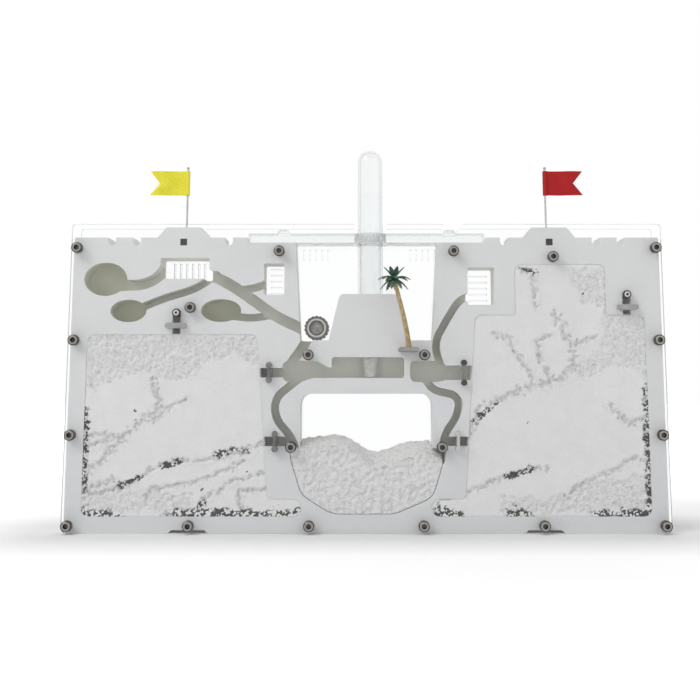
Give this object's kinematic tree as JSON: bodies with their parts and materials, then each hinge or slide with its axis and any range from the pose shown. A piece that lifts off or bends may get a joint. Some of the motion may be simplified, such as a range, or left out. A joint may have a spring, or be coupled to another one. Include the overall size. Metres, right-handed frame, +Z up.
{
  "type": "ant habitat",
  "caption": "Upright flat ant habitat: white routed board between clear covers, sand-filled nests, open basin with glass water tube, tunnel gates and flags",
  "frame": {"origin": "middle of the bottom edge that the habitat stands on, half way through the board", "axes": "+X to the right seen from the front, +Y from the front to the back, +Z up"},
  "size_m": [0.3, 0.037, 0.1941],
  "materials": {
    "white_board": "routed PVC board, matt",
    "clear_acrylic": "polished clear acrylic",
    "steel": "plated steel",
    "sand": "packed white grain",
    "black_rubber": "soft rubber",
    "clear_rubber": "clear silicone",
    "glass_tube": "thin glass",
    "water": "clear water",
    "cotton": "cotton wool",
    "yellow_plastic": "printed film",
    "red_plastic": "printed film",
    "black_plastic": "moulded",
    "tan_plastic": "moulded",
    "green_plastic": "moulded",
    "white_plastic": "moulded",
    "grey_plastic": "moulded"
  },
  "bodies": {
    "housing": {"nest_board": "white_board", "front_cover": "clear_acrylic", "back_cover": "clear_acrylic", "cover_screws": "steel", "cover_nuts": "steel", "nest_sand_left": "sand", "nest_sand_right": "sand", "bowl_sand": "sand", "pin_holder_left": "black_rubber", "pin_holder_right": "black_rubber"},
    "lid": {"outworld_lid": "clear_acrylic", "tube_collar": "clear_rubber"},
    "tube": {"water_tube": "glass_tube", "tube_water": "water", "tube_cotton": "cotton"},
    "pin_left": {"flag_pin_left": "steel"},
    "flag_left": {"flag_left": "yellow_plastic"},
    "pin_right": {"flag_pin_right": "steel"},
    "flag_right": {"flag_right": "red_plastic"},
    "gate_upper_left": {"gate_upper_left_blade": "clear_acrylic", "gate_upper_left_beads": "black_rubber"},
    "gate_upper_right": {"gate_upper_right_blade": "clear_acrylic", "gate_upper_right_beads": "black_rubber"},
    "gate_lower_left": {"gate_lower_left_blade": "clear_acrylic", "gate_lower_left_beads": "black_rubber"},
    "gate_lower_right": {"gate_lower_right_blade": "clear_acrylic", "gate_lower_right_beads": "black_rubber"},
    "port_plug_left": {"port_plug_left": "black_rubber"},
    "port_gate_left": {"port_gate_left": "grey_plastic"},
    "port_plug_right": {"port_plug_right": "black_rubber"},
    "port_gate_right": {"port_gate_right": "grey_plastic"},
    "palm": {"palm_foot": "black_plastic", "palm_trunk": "tan_plastic", "palm_crown": "green_plastic"},
    "cup": {"feeding_cup": "black_plastic", "feeding_cup_ring": "white_plastic", "feeding_cup_feed": "grey_plastic"}
  },
  "joints": [
    {"name": "lid_lift", "type": "slide", "parent": "housing", "child": "lid", "axis": [0, 0, 1], "range_m": [0, 0.02]},
    {"name": "tube_pull", "type": "slide", "parent": "housing", "child": "tube", "axis": [0, 0, 1], "range_m": [0, 0.06]},
    {"name": "pin_left_pull", "type": "slide", "parent": "housing", "child": "pin_left", "axis": [0, 0, 1], "range_m": [0, 0.012]},
    {"name": "flag_left_turn", "type": "hinge", "parent": "pin_left", "child": "flag_left", "pos_m": [-0.0933, 0, 0.1766], "axis": [0, 0, 1], "continuous": true},
    {"name": "pin_right_pull", "type": "slide", "parent": "housing", "child": "pin_right", "axis": [0, 0, 1], "range_m": [0, 0.012]},
    {"name": "flag_right_turn", "type": "hinge", "parent": "pin_right", "child": "flag_right", "pos_m": [0.0933, 0, 0.1766], "axis": [0, 0, 1], "continuous": true},
    {"name": "gate_upper_left_pull", "type": "slide", "parent": "housing", "child": "gate_upper_left", "axis": [0, -1, 0], "range_m": [0, 0.016]},
    {"name": "gate_upper_right_pull", "type": "slide", "parent": "housing", "child": "gate_upper_right", "axis": [0, -1, 0], "range_m": [0, 0.016]},
    {"name": "gate_lower_left_pull", "type": "slide", "parent": "housing", "child": "gate_lower_left", "axis": [0, -1, 0], "range_m": [0, 0.016]},
    {"name": "gate_lower_right_pull", "type": "slide", "parent": "housing", "child": "gate_lower_right", "axis": [0, -1, 0], "range_m": [0, 0.016]},
    {"name": "port_plug_left_pull", "type": "slide", "parent": "housing", "child": "port_plug_left", "axis": [0, -1, 0], "range_m": [0, 0.008]},
    {"name": "port_gate_left_pull", "type": "slide", "parent": "housing", "child": "port_gate_left", "axis": [0, -1, 0], "range_m": [0, 0.016]},
    {"name": "port_plug_right_pull", "type": "slide", "parent": "housing", "child": "port_plug_right", "axis": [0, -1, 0], "range_m": [0, 0.008]},
    {"name": "port_gate_right_pull", "type": "slide", "parent": "housing", "child": "port_gate_right", "axis": [0, -1, 0], "range_m": [0, 0.016]},
    {"name": "palm_pull", "type": "slide", "parent": "housing", "child": "palm", "axis": [0, -1, 0], "range_m": [0, 0.012]},
    {"name": "cup_lift", "type": "slide", "parent": "housing", "child": "cup", "axis": [0, 0, 1], "range_m": [0, 0.035]}
  ]
}
